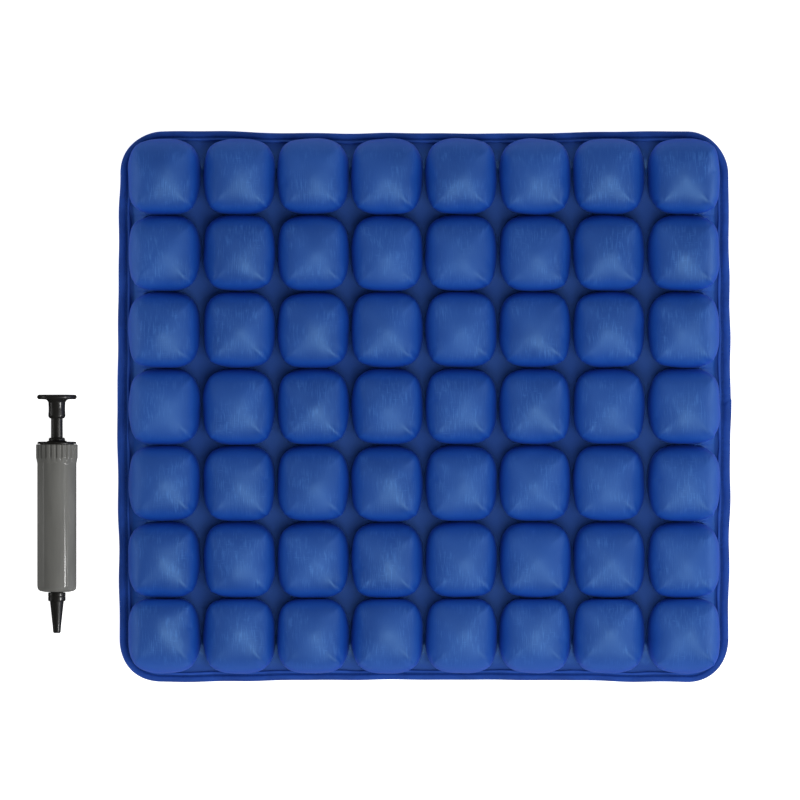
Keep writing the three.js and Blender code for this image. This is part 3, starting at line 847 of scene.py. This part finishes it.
def seam_shift(anchors, normals, inset):
    """How far a point of the tape's upper wing moves in, so that the seam line is uneven."""
    across, lengthwise = np.abs(normals.T) ** 4
    shift = 0.9 * MM * (across * bell(anchors[:, 1], SIDE_BELLY) - lengthwise)
    return shift[:, None] * ramp(inset, 3.8 * MM, 5.4 * MM)


def periodic_noise(along, total, size, seed, waves=14):
    """Smooth noise along a closed line."""
    rng = np.random.default_rng(seed)
    value = np.zeros_like(along)
    highest = int(total / size)
    for _ in range(waves):
        turns = int(rng.integers(max(1, highest // 4), highest + 1))
        value += np.sin(along / total * math.tau * turns + rng.uniform(0, math.tau))
    return value / math.sqrt(waves)


# Section of the folded tape, as (distance from the cushion's edge, height) in mm
TAPE_SECTION = [
    (7.70, 5.10), (8.15, 5.60), (8.20, 6.60), (7.85, 7.20), (7.25, 7.40), (6.65, 7.05),
    (6.15, 6.15), (5.65, 5.40), (5.05, 5.20), (4.45, 5.55), (3.80, 6.00), (3.00, 6.20),
    (2.20, 6.05), (1.45, 5.75), (0.75, 5.35), (0.25, 4.75), (0.0, 4.0), (0.0, 3.0), (0.25, 2.2),
    (0.9, 1.55), (2.0, 1.2), (3.6, 1.0), (6.0, 1.0), (8.0, 1.1), (9.4, 0.95), (10.2, 1.2),
    (10.3, 1.7), (8.0, 1.75), (4.0, 1.7), (1.6, 1.75), (0.85, 2.2), (0.7, 3.4),
    (0.85, 4.5), (1.6, 4.95), (4.0, 5.00), (6.4, 5.05),
]
JOIN_Y = 2 * MM                     # middle of the tape's diagonal join on the right side
JOIN_END_Y = -24 * MM               # where the hidden end of the tape stops showing


def edge_binding():
    """The folded tape round the edge: wavy, with a rolled inner edge and a diagonal join."""
    anchors, normals, along, total = edge_path(0.9 * MM)
    section = np.array(TAPE_SECTION)
    inset = section[:, 0] * MM
    height = section[:, 1] * MM
    upper = ramp(height, 5.08 * MM, 5.38 * MM)
    inner = ramp(inset, 6.3 * MM, 7.2 * MM)
    outer = 1 - ramp(inset, 0.4 * MM, 1.8 * MM)

    def wobble(depth, size, seed):
        """Unevenness along the edge, as a column."""
        return depth * periodic_noise(along, total, size, seed)[:, None]

    bow = edge_bow(anchors, normals)[:, None] + wobble(0.25 * MM, 38 * MM, 3)
    sway = wobble(0.30 * MM, 24 * MM, 5)
    puff = wobble(0.28 * MM, 17 * MM, 8) + wobble(0.10 * MM, 5 * MM, 9)

    on_right = normals[:, :1] > 0.99
    y = anchors[:, 1:]
    diagonal = JOIN_Y + (4.0 * MM - inset) * 0.9
    past = ramp(diagonal - y, 0, 0.7 * MM)
    lap = past * ramp(y, JOIN_END_Y, JOIN_END_Y + 20 * MM) * on_right

    reach = CORNER_RADIUS - inset + bow + sway * inner
    upper_wing = height > 5.02 * MM
    reach = reach - seam_shift(anchors, normals, inset) * upper_wing
    reach = reach + 0.5 * MM * lap * outer
    points = anchors[:, None, :] + normals[:, None, :] * reach[..., None]
    z = height + (puff * upper + 0.8 * MM * lap * upper)
    vertices = np.concatenate([points, z[..., None]], axis=-1)

    count, width = vertices.shape[:2]
    faces = grid_faces(count, width, around=(True, True))
    tape = new_object("edge_tape", vertices.reshape(-1, 3), faces)
    steps = np.linalg.norm(np.diff(section, axis=0), axis=1)
    across = np.concatenate([[0], np.cumsum(steps)]) * MM
    write_cloth_map(tape.data, np.repeat(along, width), np.tile(across, count))
    outward(tape)
    finish_piece(tape, TAPE, "cushion", "binding_tape", "edge_binding")


def edge_stitches():
    """One line of lockstitches that sink into the tape near its inner edge."""
    pitch = 3.4 * MM
    length = 2.5 * MM
    radius = 0.30 * MM
    seam = 5.1 * MM                 # from the cushion's edge
    anchors, normals = edge_path(pitch)[:2]
    shift = seam_shift(anchors, normals, np.array([seam]))[:, 0]
    bow = edge_bow(anchors, normals)
    rng = np.random.default_rng(77)
    rings, sides = 9, 8
    vertices, faces = [], []
    for k in range(len(anchors)):
        inward = CORNER_RADIUS - seam - shift[k] + bow[k] + rng.normal(0, 0.06) * MM
        middle = anchors[k] + normals[k] * inward
        slant = rng.normal(0.06, 0.03)
        tangent = np.array([-normals[k, 1], normals[k, 0]]) + normals[k] * slant
        start = len(vertices)
        for f in np.linspace(-1, 1, rings):
            thick = radius * math.sqrt(max(0.0, 1 - abs(f) ** 3)) + 0.02 * MM
            level = (5.42 - 0.35 * f * f) * MM
            centre = (*(middle + tangent * f * length / 2), level)
            aside = np.array([tangent[1], -tangent[0], 0]) * thick
            vertices.extend(ellipse(centre, aside, np.array([0, 0, 0.85 * thick]), sides))
        faces.extend(grid_faces(rings, sides, start, around=(False, True)))
        faces.append(range(start, start + sides))
        faces.append(range(len(vertices) - sides, len(vertices)))
    stitches = new_object("edge_stitches", vertices, faces)
    outward(stitches)
    finish_piece(stitches, THREAD, "cushion", "thread", "edge_stitching")


edge_binding()
edge_stitches()

# ---- underside

FABRIC_TOP = 2.8 * MM
FABRIC_HEM_BOTTOM = 2.05 * MM
FABRIC_PAD_BOTTOM = 0.35 * MM
FILM_BOTTOM, FILM_TOP = 3.1 * MM, 3.7 * MM
FILM_HOLE_RADIUS = 7.3 * MM
DOT_PITCH = 12 * MM
DOT_RADIUS = 1.7 * MM
DOT_MARGIN = 20 * MM                # from the cushion's outline to the first dots


def rounded_disc(count_x, count_y, inset):
    """A grid that fills the cushion's rounded outline."""
    x = np.linspace(-1, 1, count_x) * (HALF_LENGTH - inset)
    y = np.linspace(-1, 1, count_y) * (HALF_WIDTH - inset)
    x, y = np.meshgrid(x, y, indexing="ij")
    share = np.maximum(np.abs(x) / (HALF_LENGTH - inset), np.abs(y) / (HALF_WIDTH - inset))
    safe = np.maximum(share, 1e-9)
    rim_x, rim_y = outline_point(x / safe, y / safe, inset)
    pull = ramp(share, 0.6, 1.0) * share
    return x + (rim_x - x / safe) * pull, y + (rim_y - y / safe) * pull


def cut_hole(obj, x, y, radius):
    """Cuts a round hole through a closed sheet."""
    rod = {"segments": 72, "radius1": radius, "radius2": radius, "depth": 50 * MM}
    tool = new_object("hole_tool", [], [])
    with editing(tool.data) as bm:
        bmesh.ops.create_cone(bm, cap_ends=True, **rod)
        bmesh.ops.translate(bm, verts=bm.verts, vec=(x, y, 0))
    cut = obj.modifiers.new("hole", "BOOLEAN")
    cut.object = tool
    cut.operation = "DIFFERENCE"
    cut.solver = "EXACT"
    bpy.context.view_layer.update()
    cut_obj = obj.evaluated_get(bpy.context.evaluated_depsgraph_get())
    done = bpy.data.meshes.new_from_object(cut_obj)
    obj.modifiers.clear()
    obj.data = done
    bpy.data.meshes.remove(tool.data)


def flat_sheet(name, x, y, top, bottom):
    """A closed sheet over a grid of places, between two heights."""
    upper = np.stack([x, y, np.full_like(x, top)], axis=-1).reshape(-1, 3)
    lower = np.stack([x, y, np.broadcast_to(bottom, x.shape)], axis=-1).reshape(-1, 3)
    both = np.concatenate([upper, lower])
    size = x.size
    up = grid_faces(*x.shape)
    down = grid_faces(*x.shape, start=size)[:, ::-1]
    index = np.arange(size).reshape(x.shape)
    rim = np.concatenate([index[:-1, 0], index[-1, :-1], index[:0:-1, -1], index[0, :0:-1]])
    after = np.roll(rim, -1)
    wall = np.stack([rim, rim + size, after + size, after], axis=1)
    sheet = new_object(name, both, np.concatenate([up, down, wall]))
    write_cloth_map(sheet.data, both[:, 0], both[:, 1])
    outward(sheet)
    return sheet


def base_fabric():
    """The thick underside cloth: pillowed by the cells and stepped up at its hem."""
    x, y = rounded_disc(181, 163, HEM_INSET)
    hem = 1 - ramp(from_outline(x, y), 14 * MM, 19 * MM)
    quilt = np.abs(np.sin(x / PITCH_X * math.pi)) * np.abs(np.cos(y / PITCH_Y * math.pi))
    low = FABRIC_PAD_BOTTOM + 0.55 * MM * (1 - quilt**0.5)
    low = low + 0.08 * MM * soft_noise(x, y, 20 * MM, 17)
    low = low * (1 - hem) + FABRIC_HEM_BOTTOM * hem
    cloth = flat_sheet("underside_cloth", x, y, FABRIC_TOP, low)
    cut_hole(cloth, VALVE_X, VALVE_Y, EYELET_RADIUS)
    shade_smooth(cloth.data)
    finish_piece(cloth, BASE, "cushion", "base_fabric", "bottom_fabric")


def base_film():
    """The flat film that closes the air cells, between the cells and the underside cloth."""
    inset = HEM_INSET + 0.2 * MM
    x, y = rounded_disc(121, 109, inset)
    film = flat_sheet("base_film", x, y, FILM_TOP, FILM_BOTTOM)
    cut_hole(film, VALVE_X, VALVE_Y, FILM_HOLE_RADIUS)
    finish_piece(film, FILM, "cushion", "base_film", "bladder_base_film")


def grip_dots():
    """Small moulded dots in staggered lines on the underside."""
    # Rings of a dot, from its tip: share of its radius, height in mm
    dome = [(0.55, 0.08), (0.85, 0.24), (1.0, 0.57), (1.05, 1.32)]
    tip = 0.02 * MM
    sides = 12
    reach_x = int(HALF_LENGTH / DOT_PITCH)
    reach_y = int(2 * HALF_WIDTH / DOT_PITCH)
    vertices, faces = [], []
    for i in range(-reach_x, reach_x + 1):
        for j in range(-reach_y, reach_y + 1):
            x = (i + 0.5 * (j % 2)) * DOT_PITCH
            y = j * DOT_PITCH / 2
            near_valve = math.hypot(x - VALVE_X, y - VALVE_Y) < EYELET_RADIUS + 4 * MM
            if near_valve or from_outline(x, y) < DOT_MARGIN:
                continue
            ring = len(vertices) + 1
            vertices.append((x, y, tip))
            for share, level in dome:
                half_x, half_y = np.eye(3)[:2] * share * DOT_RADIUS
                vertices.extend(ellipse((x, y, level * MM), half_x, half_y, sides))
            faces.extend((ring - 1, ring + (a + 1) % sides, ring + a) for a in range(sides))
            faces.extend(grid_faces(len(dome), sides, ring, around=(False, True)))
            faces.append(range(len(vertices) - sides, len(vertices)))
    dots = new_object("underside_grip_dots", vertices, faces)
    outward(dots)
    finish_piece(dots, RUBBER, "cushion", "base_fabric")


base_fabric()
base_film()
grip_dots()

# ---- turned pieces


def rounded(outline, radius, steps=4):
    """A closed outline of (radius, height) points with its corners rounded."""
    points = [Vector(p) for p in outline]
    made = []
    for i, corner in enumerate(points):
        before, after = points[i - 1], points[(i + 1) % len(points)]
        to_before, to_after = before - corner, after - corner
        if corner.x < 1e-9 or before.x < 1e-9 and after.x < 1e-9:
            made.append(corner)
            continue
        cut = min(radius, to_before.length * 0.45, to_after.length * 0.45)
        a = corner + to_before.normalized() * cut
        b = corner + to_after.normalized() * cut
        for k in range(steps + 1):
            f = k / steps
            made.append(a * (1 - f) ** 2 + corner * 2 * f * (1 - f) + b * f**2)
    return made


def turned(name, outline, sides=96, grooves=None, corner=0.4 * MM, on_axis=False):
    """A body turned about Z from an outline of (radius, height) in mm.

    `grooves(angle, point)` gives a change of radius. An outline that is `on_axis` starts and
    ends on the axis, and is not closed.
    """
    points = rounded([(radius * MM, height * MM) for radius, height in outline], corner)
    vertices = []
    for a in range(sides):
        angle = a / sides * math.tau
        for p in points:
            radius = p.x + (grooves(angle, p) if grooves else 0.0)
            vertices.append((radius * math.cos(angle), radius * math.sin(angle), p.y))
    obj = new_object(name, vertices, grid_faces(sides, len(points), around=(True, not on_axis)))
    with editing(obj.data) as bm:
        bmesh.ops.remove_doubles(bm, verts=bm.verts, dist=0.001 * MM)
        bmesh.ops.recalc_face_normals(bm, faces=bm.faces)
    shade_smooth(obj.data)
    return obj


def pump_part(name, outline, material, body, slot, node, **shape):
    """A body turned along Z, then laid along the pump's axis. It stands for one CAD node."""
    part = turned(name, outline, **shape)
    for vertex in part.data.vertices:
        x, y, z = vertex.co
        vertex.co = (PUMP_X + x, PUMP_Y + z, PUMP_Z - y)
    outward(part)
    return finish_piece(part, material, body, slot, node)


def stand_at_valve(obj):
    for vertex in obj.data.vertices:
        vertex.co += Vector((VALVE_X, VALVE_Y, 0))


# ---- hand pump

BORE_RADIUS = 12.65                 # in mm, as the outlines are
FLUTES = 24
FLUTE_DEPTH = 0.85 * MM
GRIP_START = 96.2 * MM              # from the nozzle end of the barrel
GRIP_RISE = 3 * MM
PARTING_LINE = 0.10 * MM


def pump_barrel():
    """Grey barrel with a fluted, flared grip, a parting line and a rounded bottom rim."""
    outline = [
        (5, 0), (9.5, 0.15), (12.6, 0.9), (13.9, 2.2), (14.25, 4.2), (14.25, 30), (14.25, 60),
        (14.25, 94), (14.45, 95.2), (15.2, 98), (15.25, 99), (15.25, 103), (15.25, 108),
        (BORE_RADIUS, 108), (BORE_RADIUS, 60), (BORE_RADIUS, 2.4), (5, 2.4),
    ]

    def flutes(angle, point):
        if point.x < (BORE_RADIUS + 0.35) * MM:
            return 0.0
        in_grip = float(ramp(point.y, GRIP_START, GRIP_START + GRIP_RISE))
        groove = FLUTE_DEPTH * max(0.0, math.cos(angle * FLUTES)) ** 0.8
        seam = PARTING_LINE * sum(bell(math.sin((angle - a) / 2), 1 / 60) for a in (0.0, math.pi))
        return seam * (1 - in_grip) - groove * in_grip

    return pump_part(
        "pump_barrel_shell", outline, GREY_PLASTIC, "pump", "grey_plastic", "pump_barrel",
        sides=FLUTES * 12, grooves=flutes, corner=0.7 * MM,
    )


ROD_START, ROD_END = 26.3, 136.6

# The pump's black parts: name, CAD node, body, settings, and outline in mm
BLACK_PARTS = [
    # A thin rim over the grip, and the chamfered collar that guides the rod
    ("pump_cap", "pump_end_cap", "pump", {"corner": 0.35 * MM}, [
        (4.6, 102), (12.3, 102), (12.3, 108.3), (14.25, 108.3), (14.25, 109.3), (13.6, 109.9),
        (7.4, 109.9), (6.9, 110.4), (5.9, 110.7), (5.9, 112.2), (5.2, 112.9), (4.6, 112.9),
    ]),
    # A collar with a step, a long taper and a rounded tip, with the air bore
    ("pump_nozzle_tip", "pump_nozzle", "pump", {"corner": 0.45 * MM}, [
        (1.3, -30), (2.4, -30), (2.8, -29.2), (3.2, -24), (5.1, -6.6), (6.0, -6.6), (6.4, -6.1),
        (6.4, -3.4), (6.2, -3.1), (6.4, -2.8), (6.4, -0.3), (4.7, -0.3), (4.7, 2.4), (1.8, 2.4),
        (1.8, -2.4), (3.8, -2.4), (3.8, -5.6), (1.3, -5.6),
    ]),
    # The rod between the piston and the handle
    ("plunger_rod", "piston_rod", "plunger", {"sides": 64, "corner": 0.3 * MM, "on_axis": True}, [
        (0, ROD_START - 6), (2.5, ROD_START - 6), (2.5, ROD_START), (4.3, ROD_START),
        (4.3, ROD_START + 3), (4.3, 70), (4.3, 100), (4.3, ROD_END - 2), (4.3, ROD_END),
        (0, ROD_END),
    ]),
    # A chamfered sleeve under a round push plate with a dished, ringed face
    ("plunger_handle", "pump_handle", "plunger", {"corner": 0.6 * MM, "on_axis": True}, [
        (0, 136.9), (4.6, 136.9), (4.6, 126.9), (5.2, 126.9), (6.3, 128.5), (6.0, 134),
        (6.2, 138.8), (7.4, 140.5), (9.0, 140.9), (13.4, 140.9), (14.5, 141.8), (14.5, 143.3),
        (13.6, 144.3), (12.2, 144.3), (11.7, 144.0), (9.2, 143.8), (8.7, 144.1), (4.0, 143.8),
        (0, 143.7),
    ]),
]
PUMP_PIECES = [pump_barrel()]
for name, node, body, shape, outline in BLACK_PARTS:
    part = pump_part(name, outline, BLACK_PLASTIC, body, "black_plastic", node, **shape)
    PUMP_PIECES.append(part)

# ---- air valve


def valve_body():
    """Welded flange with a raised weld ring, and the neck with its tapered mouth."""
    outline = [
        (6, 2.0), (8.8, 2.0), (9.2, 1.85), (9.8, 1.85), (10.2, 2.0), (14.2, 2.0), (15, 2.3),
        (15, 2.8), (7, 2.8), (7, 7), (6.8, 12), (4, 12), (4, 6), (6, 2.6),
    ]
    body = turned("valve_seat", outline, corner=0.25 * MM)
    stand_at_valve(body)
    finish_piece(body, VALVE_PLASTIC, "cushion", "valve_plastic", "valve_body")


def valve_plug():
    """Push-in plug: finger disc with a grip ring, tapered stopper and its keeper strap."""
    outline = [
        (0, 0.55), (4.6, 0.55), (5.0, 0.4), (6.0, 0.4), (6.4, 0.55), (7.6, 0.55), (8.0, 0.9),
        (8.0, 1.5), (7.7, 1.7), (5.4, 1.7), (5.4, 2.2), (3.65, 5.4), (3.3, 5.6), (0, 5.6),
    ]
    plug = turned("valve_stopper", outline, corner=0.2 * MM, on_axis=True)
    stand_at_valve(plug)
    strap_middle = Vector((VALVE_X - 10 * MM, VALVE_Y, 0.85 * MM))
    strap_size = Vector((6 * MM, 5 * MM, 0.7 * MM))
    bm = bmesh.new()
    bmesh.ops.create_cube(bm, size=1.0)
    for vertex in bm.verts:
        vertex.co = strap_middle + vertex.co * strap_size
    bmesh.ops.bevel(bm, geom=bm.edges[:], offset=0.25 * MM, segments=3, affect="EDGES")
    bm.from_mesh(plug.data)
    bm.to_mesh(plug.data)
    bm.free()
    shade_smooth(plug.data)
    finish_piece(plug, VALVE_PLASTIC, "plug", "valve_plastic", "valve_plug")


valve_body()
valve_plug()

# ---- CAD nodes that stay as they are

for node_name, node_material in (
    ("valve_flap", RUBBER),
    ("pump_check_disc", RUBBER),
    ("piston_head", GREY_PLASTIC),
    ("piston_cup_seal", RUBBER),
):
    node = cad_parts[node_name]
    node.data.materials.clear()
    node.data.materials.append(node_material)

# ---- stage, light and camera


def stage_floor():
    half = 6.0
    corners = [(-half, -half), (half, -half), (half, half), (-half, half)]
    floor = new_object("floor", [(x, y, -0.2 * MM) for x, y in corners], [(0, 1, 2, 3)])
    floor.data.materials.append(pale_floor())
    floor.visible_glossy = False


OVERHEAD = (0.24, -0.42, 1.85)      # place of the main light, and of its twin for the pump
WORLD_STRENGTH = 0.42


def softbox(name, place, aim, size, power, lights=None, glossy=True):
    """A flat light that faces a point. `lights` names the only things that it lights."""
    light = bpy.data.lights.new(name, "AREA")
    light.shape = "RECTANGLE"
    light.size, light.size_y = size
    light.energy = power
    lamp = bpy.data.objects.new(name, light)
    lamp.location = place
    lamp.visible_camera = False
    lamp.visible_glossy = glossy
    lamp.light_linking.receiver_collection = lights
    lamp.rotation_euler = (Vector(aim) - Vector(place)).to_track_quat("-Z", "Y").to_euler()
    bpy.context.scene.collection.objects.link(lamp)


def light_group(name, objects, state):
    """A collection that a softbox lights alone ("INCLUDE") or leaves out ("EXCLUDE")."""
    group = bpy.data.collections.new(name)
    for obj in objects:
        group.objects.link(obj)
    for entry in group.collection_objects:
        entry.light_linking.link_state = state
    return group


def studio_light(pump):
    """Soft light from the lower right on the cushion; the pump has its own, from the right."""
    pump_only = light_group("lit_pump", pump, "INCLUDE")
    not_pump = light_group("lit_cushion", pump, "EXCLUDE")
    world = bpy.data.worlds.new("studio")
    world.use_nodes = True
    sky = world.node_tree.nodes["Background"].inputs
    sky["Color"].default_value = rgb(1, 1, 1)
    sky["Strength"].default_value = WORLD_STRENGTH
    bpy.context.scene.world = world
    world.cycles_visibility.glossy = False
    softbox("overhead", OVERHEAD, (0, 0, 0), (0.9, 0.9), 16.0, not_pump)
    softbox("low", (0.66, -1.02, 1.12), (0, 0, 0), (0.9, 0.9), 3.6)
    softbox("right", (1.80, -0.37, 0.80), (0, -0.1, 0.02), (0.46, 0.12), 2.5)
    softbox("side_right", (1.90, 0, 0.16), (0, 0, 0.03), (0.9, 0.2), 4.4)
    softbox("side_left", (-1.90, 0, 0.16), (0, 0, 0.03), (0.9, 0.2), 2.2)
    softbox("left", (-1.75, 0.2, 0.70), (0, 0, 0.02), (0.5, 0.9), 0.5)
    beside_pump = (PUMP_X, -0.1, 0.02)
    softbox("pump_soft", OVERHEAD, beside_pump, (0.9, 0.9), 2.4, pump_only, False)
    softbox("pump_side", (1.60, -0.30, 1.26), beside_pump, (0.4, 0.4), 12.0, pump_only, False)
    softbox("pump_glint", (1.23, -0.36, 1.19), beside_pump, (0.46, 0.32), 20.0, pump_only)


CAMERA_HEIGHT = 5.0
FRAME_WIDTH = 0.5868                # width of the floor that the camera sees


def camera_above():
    """A distant camera that looks straight down."""
    data = bpy.data.cameras.new("camera")
    data.sensor_width = 36
    data.lens = data.sensor_width * CAMERA_HEIGHT / FRAME_WIDTH
    camera = bpy.data.objects.new("camera", data)
    camera.location = (-17.6 * MM, 4.4 * MM, CAMERA_HEIGHT)
    bpy.context.scene.collection.objects.link(camera)
    bpy.context.scene.camera = camera


stage_floor()
studio_light(PUMP_PIECES)
camera_above()
bpy.context.scene.view_settings.view_transform = "Standard"
